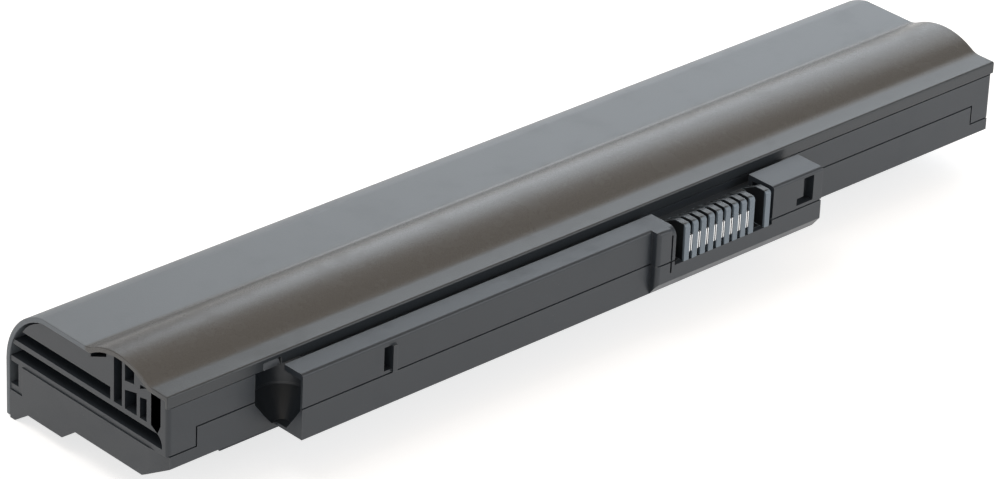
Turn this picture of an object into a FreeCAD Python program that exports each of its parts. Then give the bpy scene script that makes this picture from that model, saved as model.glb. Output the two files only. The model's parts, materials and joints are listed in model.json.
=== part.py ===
import FreeCAD, Part
import math
import os
import Sketcher

# A laptop battery: a cosmetic top cover over a two-part case, six round cells, the
# straps and leads that join them, and a circuit board with its contact connector in
# the block that stands out of the front face.
#
# Axes while building: X from the left end, Y from the foremost face towards the back,
# Z up from the plane the battery rests on. Every sub-part is then placed so that the
# origin is at the middle of the bottom of the bounding box.

# Driving dimensions in millimetres
DIMENSIONS = {
    # overall body: the cells' rows with margins around them, and heights down from the panel
    "left_margin": 26.2,
    "right_margin": 26.2,
    "back_margin": 13.0,
    "panel_height": 28.6,
    "lip_drop": 0.3,
    "seam_below_corner": 0.15,
    "parting_step": 4.65,
    "front_edge_drop": 2.85,
    "floor_drop": 4.6,
    "floor_step_drop": 3.3,
    "end_seam_run": 8.0,
    "right_seam_run": 6.8,
    "seam_groove": 0.4,
    "fit_gap": 0.1,
    # cosmetic cover
    "cover_wall": 1.2,
    "lip_overhang": 0.1,
    "lip_round": 0.5,
    "lip_face": 2.9,
    "lip_wall": 0.8,
    "lip_seam": 0.15,
    "hump_start": 6.0,
    "hump_width": 19.5,
    "hump_rise": 2.97,
    "hump_blend": 5.0,
    "corner_run": 12.4,
    "corner_drop": 14.6,
    "corner_radius": 15.2,
    "skirt_clear": 0.4,
    "latch_window": 4.7,
    "latch_window_past": 1.1,
    # case walls and the floor's outline
    "case_wall": 1.3,
    "top_wall": 1.0,
    "floor_slope_run": 8.0,
    "front_floor_run": 30.0,
    "step_run": 4.5,
    "rear_floor_back": 7.4,
    "foot_back": 2.9,
    "foot_wall": 2.3,
    "platform_start": 25.4,
    "platform_end": 182.0,
    "platform_front": 13.5,
    "label_margin": 4.0,
    "label_thickness": 0.2,
    "label_sink": 0.1,
    # ribs, slots, end plates and pockets at the ends
    "end_recess": 5.5,
    "rib_setback": 0.3,
    "corner_round": 1.0,
    "facet_depth": 0.8,
    "facet_width": 6.3,
    "rib_two_rise": 1.25,
    "groove_width": 3.1,
    "rib_one_width": 1.2,
    "slot_end": 1.9,
    "slot_round": 1.5,
    "recess_front": 18.7,
    "slot_height": 2.95,
    "plate_back": 5.4,
    "plate_shoulder": 11.1,
    "plate_shoulder_drop": 1.8,
    "plate_round": 12.0,
    "valley_slit_start": 20.0,
    "valley_slit_width": 5.2,
    "valley_slit_height": 0.7,
    "valley_slit_rise": 2.2,
    "pocket_wide_start": 14.9,
    "pocket_wide": 2.7,
    "pocket_mid_start": 10.1,
    "pocket_mid": 3.9,
    "pocket_small_start": 6.9,
    "pocket_small": 2.2,
    "pocket_front_start": 2.4,
    "pocket_front": 3.1,
    "pocket_bridge_drop": 1.9,
    "pocket_bridge": 1.7,
    "hook_width": 4.0,
    "hook_wall": 1.4,
    "hook_drop": 6.85,
    # connector block on the front
    "block_depth": 8.3,
    "block_start": 29.1,
    "block_end": 180.2,
    "block_low_rise": 0.3,
    "block_top_drop": 1.5,
    "block_wall": 1.2,
    "nose_depth": 2.1,
    "nose_start": 129.05,
    "nose_round": 1.0,
    "block_round": 0.8,
    "nose_bevel": 2.7,
    "channel_width": 2.4,
    "channel_depth": 3.5,
    "key_slot_start": 51.4,
    "key_slot_width": 2.1,
    "key_slot_rise": 1.1,
    "key_slot_drop": 1.5,
    "key_slot_depth": 2.4,
    "key_rib_width": 1.2,
    "key_rib_proud": 0.6,
    "end_slot_start": 174.2,
    "end_slot_width": 3.2,
    "end_slot_rise": 1.1,
    "end_slot_drop": 0.9,
    "end_slot_foot": 2.0,
    "end_slot_foot_height": 1.8,
    # latch scoop in the block's left inner corner
    "scoop_radius": 6.3,
    "scoop_along": 29.5,
    "scoop_ahead": 1.4,
    "scoop_shoulder_drop": 0.5,
    "scoop_floor_rise": 0.7,
    "scoop_floor_radius": 2.0,
    "scoop_top_drop": 1.4,
    "scoop_wall": 0.9,
    # connector
    "notch_start": 134.35,
    "notch_left": 3.55,
    "notch_right": 1.7,
    "notch_drop": 1.0,
    "slit_setback": 1.35,
    "slit_width": 0.5,
    "slit_depth": 0.9,
    "slit_below_notch": 1.6,
    "slit_drop": 1.6,
    "shoulder_round": 2.2,
    "contact_pitch": 2.5,
    "blade_width": 1.5,
    "blade_round": 1.0,
    "blade_drop": 0.3,
    "blade_flat": 3.4,
    "blade_fall": 2.2,
    "connector_back": 1.4,
    "connector_back_rise": 0.8,
    "connector_base_rise": 1.5,
    "connector_side_gap": 0.15,
    "contact_width": 0.8,
    "contact_leaf": 0.25,
    "contact_setback": 0.1,
    "contact_rise": 1.9,
    "contact_height": 4.0,
    # cells
    "cell_diameter": 18.3,
    "cell_length": 65.0,
    "cell_button_radius": 4.2,
    "cell_button": 0.8,
    "cell_crimp": 3.2,
    "cell_crimp_depth": 0.5,
    "front_row_depth": 15.6,
    "front_row_clear": 0.82,
    "row_pitch": 24.8,
    "rear_row_clear": 0.95,
    "cell_seat_gap": 0.1,
    "cradle_width": 1.6,
    "cradle_inset": 14.0,
    "cradle_rise": 2.5,
    "bulkhead": 1.5,
    "end_pad": 1.2,
    "pad_reach": 6.0,
    # straps and leads
    "strap_thickness": 0.3,
    "strap_width": 8.0,
    "strap_tongue": 4.0,
    "ring_outer": 8.4,
    "ring_inner": 5.0,
    "ring_thickness": 0.2,
    "lead_diameter": 1.4,
    "lead_depth": 6.9,
    "lead_below_lip": 3.6,
    "lead_landing_rise": 7.3,
    "lead_run": 10.0,
    "lead_reach": 9.0,
    # circuit board
    "board_start": 40.0,
    "board_end": 176.0,
    "board_height": 9.4,
    "board_thickness": 1.0,
    "board_setback": 1.7,
    "chip_length": 9.6,
    "chip_height": 5.6,
    "chip_thickness": 1.4,
    "gauge_length": 7.0,
    "mosfet_length": 5.0,
    "mosfet_height": 6.0,
    "mosfet_thickness": 1.6,
    "fuse_length": 6.0,
    "fuse_height": 4.0,
    "fuse_thickness": 1.2,
    "shunt_length": 6.4,
    "shunt_height": 3.2,
    "shunt_thickness": 0.7,
    "capacitor_length": 3.2,
    "capacitor_height": 2.0,
    "capacitor_thickness": 1.3,
    "component_pitch": 14.0,
    "thermistor_length": 3.0,
    "thermistor_height": 2.0,
    "thermistor_thickness": 1.6,
    "thermistor_leg": 0.6,
    "thermistor_leg_pitch": 1.6,
    "thermistor_along": 116.0,
}

# Counts of repeated pieces
CELL_COLUMNS = 3
CONTACTS = 8
SHEET = "Sizes"
# Share of the shorter run that a lead's arc takes up
LEAD_ARC_SHARE = 0.45
# Turns a sketch so that its axes are depth and height and its normal is the length
ACROSS_LENGTH = FreeCAD.Rotation(
    FreeCAD.Vector(0, 1, 0), FreeCAD.Vector(0, 0, 1), FreeCAD.Vector(1, 0, 0), "ZXY"
)
# Reach within which an edge counts as lying at a place
NEAR = 0.05


class Size:
    """A length that carries both its number and the formula that binds it."""

    def __init__(self, number, formula):
        self.number = float(number)
        self.formula = formula

    @staticmethod
    def of(value):
        if isinstance(value, Size):
            return value
        return Size(value, repr(float(value)))

    def joined(self, sign, other, number):
        return Size(number, "(%s %s %s)" % (self.formula, sign, other.formula))

    def __add__(self, other):
        other = Size.of(other)
        return self.joined("+", other, self.number + other.number)

    def __radd__(self, other):
        return Size.of(other) + self

    def __sub__(self, other):
        other = Size.of(other)
        return self.joined("-", other, self.number - other.number)

    def __rsub__(self, other):
        return Size.of(other) - self

    def __mul__(self, other):
        other = Size.of(other)
        return self.joined("*", other, self.number * other.number)

    def __rmul__(self, other):
        return Size.of(other) * self

    def __truediv__(self, other):
        other = Size.of(other)
        return self.joined("/", other, self.number / other.number)


class Sheet:
    """The driving dimensions as attributes, each one bound to its sheet cell."""

    def __init__(self, doc):
        table = doc.addObject("Spreadsheet::Sheet", SHEET)
        for row, (alias, value) in enumerate(DIMENSIONS.items(), start=1):
            table.set("A%d" % row, alias.replace("_", " "))
            table.set("B%d" % row, str(value))
            table.setAlias("B%d" % row, alias)
            setattr(self, alias, Size(value, "%s.%s" % (SHEET, alias)))
        doc.recompute()
        self.follow_length()
        self.follow_panel()
        self.follow_block()

    def follow_length(self):
        """Lengths and depths that follow from the cells and from the row of contacts."""
        self.stack_length = CELL_COLUMNS * self.cell_length + (CELL_COLUMNS - 1) * self.strap_thickness
        self.length = self.left_margin + self.stack_length + self.right_margin
        self.rear_row_depth = self.front_row_depth + self.row_pitch
        self.body_depth = self.rear_row_depth + self.back_margin
        self.rear_floor_run = self.body_depth - self.rear_floor_back
        self.foot_run = self.body_depth - self.foot_back
        self.first_blade = self.notch_start + self.notch_left
        self.notch_width = self.notch_left + (CONTACTS + 2) * self.contact_pitch + self.notch_right

    def follow_panel(self):
        """Heights of the body, measured down from the panel step by step."""
        ceiling = self.panel_height - self.cover_wall - self.fit_gap - self.top_wall
        radius = self.cell_diameter / 2
        self.lip_height = self.panel_height - self.lip_drop
        self.lip_low = self.lip_height - self.lip_face
        self.window_high = self.lip_height - self.cover_wall
        self.lip_rebate = self.lip_wall - self.lip_overhang + self.fit_gap
        self.end_seam_height = self.panel_height - self.corner_drop - self.seam_below_corner
        self.parting_height = self.end_seam_height + self.parting_step
        self.front_edge_height = self.end_seam_height - self.front_edge_drop
        self.floor_height = self.front_edge_height - self.floor_drop
        self.floor_step_height = self.floor_height - self.floor_step_drop
        self.rib_two_top = self.end_seam_height + self.rib_two_rise
        self.rib_one_low = self.rib_two_top + self.groove_width
        self.rib_one_top = self.rib_one_low + self.rib_one_width
        self.plate_low = self.rib_one_top + self.slot_height
        self.pocket_bridge_high = self.lip_height - self.pocket_bridge_drop
        self.pocket_bridge_low = self.pocket_bridge_high - self.pocket_bridge
        self.hook_low = self.end_seam_height - self.hook_drop
        self.front_row_height = ceiling + self.hump_rise - self.front_row_clear - radius
        self.rear_row_height = ceiling - self.rear_row_clear - radius

    def follow_block(self):
        """Heights of the connector block and of what it holds."""
        self.block_low = self.front_edge_height + self.block_low_rise
        self.block_top = self.lip_height - self.block_top_drop
        self.nose_low = self.block_low + self.nose_bevel
        self.key_slot_low = self.parting_height + self.key_slot_rise
        self.key_slot_high = self.block_top - self.key_slot_drop
        self.end_slot_low = self.parting_height + self.end_slot_rise
        self.end_slot_high = self.block_top - self.end_slot_drop
        self.scoop_shoulder = self.parting_height - self.scoop_shoulder_drop
        self.scoop_floor = self.block_low + self.scoop_floor_rise
        self.scoop_top = self.block_top - self.scoop_top_drop
        self.notch_low = self.parting_height - self.notch_drop
        self.blade_top = self.block_top - self.blade_drop
        self.contact_low = self.notch_low + self.contact_rise
        self.connector_back_top = self.contact_low + self.contact_height + self.connector_back_rise
        self.board_low = self.block_low + self.block_wall
        self.board_top = self.board_low + self.board_height
        self.connector_base_low = self.board_low + self.connector_base_rise
        self.lead_height = self.lip_height - self.lead_below_lip
        self.lead_landing_height = self.board_low + self.lead_landing_rise


def bind(item, name, value):
    """Tie one property of an object to a size."""
    item.setExpression(name, Size.of(value).formula)


def place(item, along, depth, height):
    """Tie an object's place to three sizes."""
    bind(item, "Placement.Base.x", along)
    bind(item, "Placement.Base.y", depth)
    bind(item, "Placement.Base.z", height)


def draw(sketch, outline):
    """Fill a sketch with a closed outline, every point and radius bound to a size.

    Each entry is (u, v) for a straight run to that point, or (u, v, radius, side)
    for an arc to it, whose centre lies on the left (+1) or right (-1) of the path.
    """
    corners = [(Size.of(entry[0]), Size.of(entry[1])) for entry in outline]
    points = [FreeCAD.Vector(u.number, v.number, 0) for u, v in corners]
    edges = []
    for index, entry in enumerate(outline):
        start = points[index - 1]
        end = points[index]
        if len(entry) == 2:
            edges.append(Part.LineSegment(start, end))
        else:
            edges.append(arc_edge(start, end, Size.of(entry[2]).number, entry[3]))
    sketch.addGeometry(edges, False)
    ends = [end_of(sketch.Geometry[index], point) for index, point in enumerate(points)]
    starts = [3 - end for end in ends]
    total = len(points)
    rules = []
    for index in range(total):
        after = (index + 1) % total
        rules.append(Sketcher.Constraint("Coincident", index, ends[index], after, starts[after]))
    bound = []
    for index, (u, v) in enumerate(corners):
        for axis, value in (("DistanceX", u), ("DistanceY", v)):
            bound.append((len(rules), value))
            rules.append(Sketcher.Constraint(axis, -1, 1, index, ends[index], value.number))
    for index, entry in enumerate(outline):
        if len(entry) == 4:
            radius = Size.of(entry[2])
            bound.append((len(rules), radius))
            rules.append(Sketcher.Constraint("Radius", index, radius.number))
    sketch.addConstraint(rules)
    for number, value in bound:
        bind(sketch, "Constraints[%d]" % number, value)


class Moulding:
    """One solid sub-part, put together in stages of pieces added and pieces cut away."""

    def __init__(self, doc, label):
        self.doc = doc
        self.label = label
        self.solid = None
        self.waiting = []
        self.cutting = False
        self.count = 0

    def piece(self, kind, name):
        """A new object of the document, named after this sub-part."""
        self.count += 1
        return self.doc.addObject(kind, "%s_%s_%d" % (self.label, name, self.count))

    def gather(self, item, cut):
        """Let a piece wait for its stage, and end the stage before it if that differs."""
        if cut != self.cutting:
            self.settle()
        self.cutting = cut
        self.waiting.append(item)

    def settle(self):
        """Join the waiting pieces to the solid, or cut them out of it."""
        pieces = self.waiting
        self.waiting = []
        if not pieces:
            return
        if self.cutting:
            tool = pieces[0]
            if len(pieces) > 1:
                tool = self.piece("Part::MultiFuse", "tool")
                tool.Shapes = pieces
            result = self.piece("Part::Cut", "cut")
            result.Base = self.solid
            result.Tool = tool
            self.solid = result
            return
        if self.solid is not None:
            pieces = [self.solid] + pieces
        self.solid = pieces[0]
        if len(pieces) > 1:
            self.solid = self.piece("Part::MultiFuse", "joined")
            self.solid.Shapes = pieces

    def block(self, name, along, depth, height, cut=False):
        """A box between pairs of sizes, added or cut away."""
        item = self.piece("Part::Box", name)
        bind(item, "Length", Size.of(along[1]) - along[0])
        bind(item, "Width", Size.of(depth[1]) - depth[0])
        bind(item, "Height", Size.of(height[1]) - height[0])
        place(item, along[0], depth[0], height[0])
        self.gather(item, cut)

    def cut_block(self, name, along, depth, height):
        self.block(name, along, depth, height, cut=True)

    def rod(self, name, along, depth, height, radius, cut=False):
        """A cylinder along X."""
        item = self.piece("Part::Cylinder", name)
        item.Placement.Rotation = FreeCAD.Rotation(FreeCAD.Vector(0, 1, 0), 90)
        bind(item, "Radius", radius)
        bind(item, "Height", Size.of(along[1]) - along[0])
        place(item, along[0], depth, height)
        self.gather(item, cut)

    def extruded(self, name, sketch, length, cut):
        """A drawn outline, run along its normal."""
        item = self.piece("Part::Extrusion", name)
        item.Base = sketch
        item.DirMode = "Normal"
        item.Solid = True
        bind(item, "LengthFwd", length)
        self.gather(item, cut)

    def prism(self, name, along, outline, cut=False):
        """An outline in depth and height, run along the length."""
        sketch = self.piece("Sketcher::SketchObject", name + "_outline")
        sketch.Placement.Rotation = ACROSS_LENGTH
        bind(sketch, "Placement.Base.x", along[0])
        draw(sketch, outline)
        self.extruded(name, sketch, Size.of(along[1]) - along[0], cut)

    def cut_prism(self, name, along, outline):
        self.prism(name, along, outline, cut=True)

    def cut_upright(self, name, height, outline):
        """An outline seen from above, cut away over a height."""
        sketch = self.piece("Sketcher::SketchObject", name + "_outline")
        bind(sketch, "Placement.Base.z", height[0])
        draw(sketch, outline)
        self.extruded(name, sketch, Size.of(height[1]) - height[0], True)

    def finished(self, along, depth):
        """The whole solid, shifted to its place in the part's frame."""
        self.settle()
        self.solid.Label = self.label
        place(self.solid, along, depth, 0.0)
        return self.solid


class Turned:
    """One body with a single outline, run along the length or turned about it."""

    def __init__(self, doc, label, role, outline):
        self.doc = doc
        self.body = doc.addObject("PartDesign::Body", label)
        self.body.Label = label
        self.sketch = self.body.newObject("Sketcher::SketchObject", label + "_outline")
        planes = self.body.Origin.OriginFeatures
        plane = next(one for one in planes if one.Role == role)
        self.sketch.AttachmentSupport = [(plane, "")]
        self.sketch.MapMode = "FlatFace"
        draw(self.sketch, outline)

    def pad(self, length):
        """Run the outline along X."""
        item = self.body.newObject("PartDesign::Pad", self.body.Label + "_pad")
        item.Profile = self.sketch
        bind(item, "Length", length)

    def turn(self):
        """Turn the outline about X."""
        item = self.body.newObject("PartDesign::Revolution", self.body.Label + "_turned")
        item.Profile = self.sketch
        item.ReferenceAxis = (self.sketch, ["H_Axis"])
        item.Angle = 360.0

    def cut_box(self, name, along, depth, height):
        """A box between pairs of sizes, cut away."""
        item = self.body.newObject("PartDesign::SubtractiveBox", self.body.Label + "_" + name)
        bind(item, "Length", Size.of(along[1]) - along[0])
        bind(item, "Width", Size.of(depth[1]) - depth[0])
        bind(item, "Height", Size.of(height[1]) - height[0])
        place(item, along[0], depth[0], height[0])

    def round_along(self, places, radius):
        """Round the edges along X that start at the given depth and height pairs."""
        self.doc.recompute()
        base = self.body.Tip
        names = []
        for number, edge in enumerate(base.Shape.Edges, start=1):
            box = edge.BoundBox
            if box.XLength < box.DiagonalLength * 0.999:
                continue
            for depth, height in places:
                near_depth = abs(box.YMin - Size.of(depth).number) < NEAR
                near_height = abs(box.ZMin - Size.of(height).number) < NEAR
                if near_depth and near_height:
                    names.append("Edge%d" % number)
        item = self.body.newObject("PartDesign::Fillet", self.body.Label + "_blend")
        item.Base = (base, names)
        bind(item, "Radius", radius)


def arc_edge(start, end, radius, side):
    """Arc from start to end, its centre on the left (+1) or right (-1) of the path."""
    chord = end - start
    half = chord.Length / 2
    left = FreeCAD.Vector(-chord.y, chord.x, 0).normalize()
    centre = (start + end) * 0.5 + left * side * math.sqrt(radius ** 2 - half ** 2)
    circle = Part.Circle(centre, FreeCAD.Vector(0, 0, 1), radius)
    first = circle.parameter(start)
    last = circle.parameter(end)
    if side < 0:
        first, last = last, first
    if last < first:
        last += 2 * math.pi
    return Part.ArcOfCircle(circle, first, last)


def end_of(edge, point):
    """1 where the edge starts at the point, 2 where it ends there."""
    near_start = (edge.StartPoint - point).Length < (edge.EndPoint - point).Length
    return 1 if near_start else 2


def hump_radius(half, rise):
    """Radius of the arc that rises by rise over twice the half width."""
    return (half * half + rise * rise) / (2 * rise)


class Battery:
    """Builds every sub-part from the sheet's sizes."""

    def __init__(self, doc):
        self.doc = doc
        self.s = Sheet(doc)
        self.bodies = []
        s = self.s
        self.front = s.block_depth + s.nose_depth
        self.back = self.front + s.body_depth
        self.inner_back = self.back - s.cover_wall - s.fit_gap
        self.stack_start = s.left_margin
        self.stack_end = s.left_margin + s.stack_length
        self.board_rear = self.front - s.board_setback
        self.board_front = self.board_rear - s.board_thickness
        self.front_row = self.front + s.front_row_depth
        self.rear_row = self.front + s.rear_row_depth
        self.beyond = 2 * s.panel_height

    def finish(self, moulding):
        """Place a finished moulding in the part's frame and keep it."""
        self.bodies.append(moulding.finished(-1 * self.s.length / 2, -1 * self.back / 2))

    def keep(self, turned, along, depth, height):
        """Place a finished body and keep it."""
        place(turned.body, along, depth, height)
        self.bodies.append(turned.body)

    def shape(self, label, solid):
        """A sub-part that no body or primitive fits, held as a plain shape."""
        item = self.doc.addObject("Part::Feature", label)
        item.Label = label
        item.Shape = solid
        item.Placement = FreeCAD.Placement(
            FreeCAD.Vector(-self.s.length.number / 2, -self.back.number / 2, 0), FreeCAD.Rotation()
        )
        self.bodies.append(item)
        return item

    def skin(self, sink):
        """The line of the cover's outside, from lip to back wall, sunk by a thickness."""
        s = self.s
        half = s.hump_width / 2
        turn = sink * s.hump_rise / half
        radius = hump_radius(half, s.hump_rise) - sink
        return [
            (self.front + s.hump_start + turn, s.lip_height - sink),
            (
                self.front + s.hump_start + s.hump_width - turn,
                s.panel_height - sink,
                radius,
                -1,
            ),
            (self.back - s.corner_run - sink * 0.2, s.panel_height - sink),
            (self.back - sink, s.panel_height - s.corner_drop, s.corner_radius - sink, -1),
        ]

    def reversed_skin(self, sink):
        """The same line travelled from the back wall to the lip."""
        forward = self.skin(sink)
        return [
            forward[3][:2],
            (forward[2][0], forward[2][1], forward[3][2], 1),
            forward[1][:2],
            (forward[0][0], forward[0][1], forward[1][2], 1),
        ]

    def top_cover(self):
        """Cosmetic cover: lip, hump, panel, rounded corner and back skirt in one shell."""
        s = self.s
        lip = self.front - s.lip_overhang
        outline = [(lip, s.lip_height)]
        outline += self.skin(Size.of(0.0))
        outline += [(self.back, s.skirt_clear), (self.back - s.cover_wall, s.skirt_clear)]
        outline += self.reversed_skin(s.cover_wall)
        outline += [
            (lip + s.lip_wall, s.lip_height - s.cover_wall),
            (lip + s.lip_wall, s.lip_low),
            (lip, s.lip_low),
        ]
        cover = Turned(self.doc, "top_cover", "YZ_Plane", outline)
        cover.pad(s.length)
        outer = self.skin(Size.of(0.0))
        cover.round_along([outer[0][:2], outer[1][:2], outer[2][:2]], s.hump_blend)
        cover.round_along([(lip, s.lip_height)], s.lip_round)
        cover.cut_box(
            "latch_window",
            self.latch_window(),
            (lip - 1.0, lip + s.lip_wall),
            (s.lip_low - 1.0, s.window_high),
        )
        self.keep(cover, -1 * s.length / 2, -1 * self.back / 2, 0.0)

    def latch_window(self):
        """Stretch of the cover's lip that is open above the latch pocket."""
        s = self.s
        end = s.block_start + s.latch_window_past
        return (end - s.latch_window, end)

    def case_outline(self, low):
        """Outside of the case under the cover, closed at the given height."""
        s = self.s
        sink = s.cover_wall + s.fit_gap
        step = self.front + s.lip_rebate
        outline = [
            (self.front, low),
            (self.front, s.lip_low - s.fit_gap),
            (step, s.lip_low - s.fit_gap),
            (step, s.lip_height - sink),
        ]
        outline += self.skin(sink)
        outline += [(self.inner_back, low)]
        return outline

    def case_cavity(self, low):
        """Inside of the case under its top wall, closed at the given height."""
        s = self.s
        sink = s.cover_wall + s.fit_gap + s.top_wall
        wall = self.front + s.case_wall
        ledge = s.lip_low - s.fit_gap - s.top_wall
        outline = [
            (wall, low),
            (wall, ledge),
            (wall + s.lip_rebate, ledge),
            (wall + s.lip_rebate, s.lip_height - sink),
        ]
        outline += self.skin(sink)
        outline += [(self.inner_back - s.top_wall, low)]
        return outline

    def upper_case(self):
        """Upper half of the case, with its end plates and ribs and the block's top."""
        s = self.s
        upper = Moulding(self.doc, "upper_case")
        low = s.end_seam_height
        run = (s.rib_setback, s.length - s.rib_setback)
        upper.prism("outside", run, self.case_outline(low))
        wall = s.end_recess + s.case_wall
        inside = (wall, s.length - wall)
        upper.cut_prism("inside", inside, self.case_cavity(low - 1.0))
        upper.cut_block(
            "below_parting",
            (s.end_seam_run, s.length - s.right_seam_run),
            (0.0, self.back + 1.0),
            (0.0, s.parting_height),
        )
        self.block_top(upper)
        self.round_corners(upper)
        self.end_recesses(upper)
        self.end_pockets(upper)
        self.back_hook(upper)
        self.latch_scoop(upper, s.parting_height, s.scoop_top + s.scoop_wall)
        self.latch_ramp(upper)
        self.upper_seams(upper)
        self.finish(upper)

    def block_top(self, upper):
        """Upper half of the connector block: top, channel, notch, slots and inside."""
        s = self.s
        face = self.front - s.block_depth
        across = (s.block_start, s.block_end)
        upper.block("block", across, (face, self.front + s.case_wall), (s.parting_height, s.block_top))
        upper.block(
            "nose",
            (s.nose_start, s.block_end),
            (face - s.nose_depth, face + s.block_wall),
            (s.parting_height, s.block_top),
        )
        roof = s.block_top - s.block_wall
        channel_floor = s.block_top - s.channel_depth
        shelf = self.front - s.channel_width - s.block_wall
        inside = (self.board_nest_start(), s.block_end - s.block_wall)
        upper.cut_block("inside_front", inside, (face + s.block_wall, shelf), (0.0, roof))
        upper.cut_block(
            "inside_rear",
            inside,
            (face + s.block_wall, self.front + s.case_wall + 1.0),
            (0.0, channel_floor - s.top_wall),
        )
        upper.cut_block(
            "inside_nose",
            (s.nose_start + s.block_wall, s.block_end - s.block_wall),
            (face - s.nose_depth + s.block_wall, shelf),
            (0.0, roof),
        )
        upper.cut_block(
            "channel",
            (s.block_start - 1.0, s.block_end + 1.0),
            (self.front - s.channel_width, self.front),
            (channel_floor, self.beyond),
        )
        upper.cut_block(
            "connector_notch",
            (s.notch_start, s.notch_start + s.notch_width),
            (-1.0, self.front - s.channel_width),
            (0.0, self.beyond),
        )
        upper.cut_block(
            "lip_rebate",
            across,
            (self.front - 1.0, self.front + s.lip_rebate),
            (s.lip_low - s.fit_gap, self.beyond),
        )
        upper.cut_block(
            "lip_seam",
            (s.block_end, s.length),
            (self.front - 1.0, self.front + s.seam_groove),
            (s.lip_low - s.fit_gap - s.lip_seam, s.lip_low),
        )
        nose = face - s.nose_depth
        shoulder = s.notch_start - s.slit_setback
        self.round_top(upper, "block_edge", (s.block_start, s.nose_start), face, s.block_round)
        self.round_top(upper, "nose_edge", (s.nose_start, shoulder), nose, s.block_round)
        self.round_top(upper, "notch_shoulder", (shoulder, s.notch_start), nose, s.shoulder_round)
        right = (s.notch_start + s.notch_width, s.block_end)
        self.round_top(upper, "right_edge", right, nose, s.block_round)
        self.nose_slit(upper, nose)
        self.key_slots(upper, face)

    def round_top(self, upper, name, across, depth, radius):
        """Rounded front edge of the block's top over a stretch of its length."""
        s = self.s
        low = s.block_top - radius
        upper.cut_prism(
            name,
            across,
            [
                (depth - 1.0, low),
                (depth, low),
                (depth + radius, s.block_top, radius, -1),
                (depth + radius, s.block_top + 1.0),
                (depth - 1.0, s.block_top + 1.0),
            ],
        )

    def nose_slit(self, case, nose):
        """Upright slit left of the connector, and the nose's rounded left corner."""
        s = self.s
        start = s.notch_start - s.slit_setback
        case.cut_block(
            "nose_slit",
            (start, start + s.slit_width),
            (nose - 1.0, nose + s.slit_depth),
            (s.notch_low - s.slit_below_notch, s.block_top - s.slit_drop),
        )
        case.cut_upright(
            "nose_corner", (0.0, self.beyond), corner_outline(s.nose_start, nose, s.nose_round, -1)
        )

    def key_slots(self, upper, face):
        """The two keying slots in the block's front, each with a closed back."""
        s = self.s
        key = (s.key_slot_start, s.key_slot_start + s.key_slot_width)
        margin = s.block_wall
        upper.block(
            "key_boss",
            (key[0] - margin, key[1] + margin),
            (face + margin / 2, face + s.key_slot_depth + margin),
            (s.key_slot_low - s.seam_groove, s.block_top - margin / 2),
        )
        upper.cut_block(
            "key_slot",
            key,
            (face - 1.0, face + s.key_slot_depth),
            (s.key_slot_low, s.key_slot_high),
        )
        upper.block(
            "key_rib",
            (key[1], key[1] + s.key_rib_width),
            (face - s.key_rib_proud, face + margin),
            (s.parting_height, s.key_slot_high),
        )
        nose = face - s.nose_depth
        slot = (s.end_slot_start, s.end_slot_start + s.end_slot_width)
        upper.block(
            "end_boss",
            (slot[0] - s.end_slot_foot - margin, s.block_end - margin / 2),
            (nose + margin / 2, nose + s.key_slot_depth + margin),
            (s.end_slot_low - s.seam_groove, s.block_top - margin / 2),
        )
        upper.cut_block(
            "end_slot", slot, (nose - 1.0, nose + s.key_slot_depth), (s.end_slot_low, s.end_slot_high)
        )
        upper.cut_block(
            "end_slot_foot",
            (slot[0] - s.end_slot_foot, slot[0] + 1.0),
            (nose - 1.0, nose + s.key_slot_depth),
            (s.end_slot_low, s.end_slot_low + s.end_slot_foot_height),
        )

    def board_nest_start(self):
        """Where the block's inside starts, clear of the latch scoop."""
        s = self.s
        return s.scoop_along + s.scoop_radius + s.scoop_wall

    def latch_scoop(self, case, low, high):
        """Round pocket with a tapered end in the block's inner corner, in its own wall."""
        s = self.s
        depth = self.front - s.scoop_ahead
        reach = s.scoop_radius + s.scoop_wall
        case.prism(
            "scoop_boss",
            (s.scoop_along - reach, s.scoop_along + reach),
            [
                (self.front + s.lip_rebate, low),
                (depth + reach, low),
                (depth + reach, high),
                (self.front + s.lip_rebate, high),
            ],
        )
        upright = case.piece("Part::Cylinder", "scoop_round")
        bind(upright, "Radius", s.scoop_radius)
        bind(upright, "Height", s.scoop_top - s.scoop_shoulder)
        place(upright, s.scoop_along, depth, s.scoop_shoulder)
        case.gather(upright, True)
        taper = case.piece("Part::Cone", "scoop_taper")
        bind(taper, "Radius1", s.scoop_floor_radius)
        bind(taper, "Radius2", s.scoop_radius)
        bind(taper, "Height", s.scoop_shoulder - s.scoop_floor)
        place(taper, s.scoop_along, depth, s.scoop_floor)
        case.gather(taper, True)

    def latch_ramp(self, upper):
        """Sloped face of the case that shows in the lip's window above the pocket."""
        s = self.s
        start, end = self.latch_window()
        wall = self.front + s.lip_rebate
        upper.prism(
            "latch_ramp",
            (start + s.fit_gap, end - s.fit_gap),
            [
                (self.front, s.scoop_top),
                (wall + s.top_wall, s.scoop_top),
                (wall + s.top_wall, s.window_high - s.fit_gap),
                (wall, s.window_high - s.fit_gap),
            ],
        )

    def round_corners(self, upper):
        """Rounded upright corners at both ends of the front face."""
        s = self.s
        for start, outward in ((s.rib_setback, -1), (s.length - s.rib_setback, 1)):
            upper.cut_upright(
                "corner",
                (s.end_seam_height - 1.0, self.beyond),
                corner_outline(start, self.front, s.corner_round, outward),
            )

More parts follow.
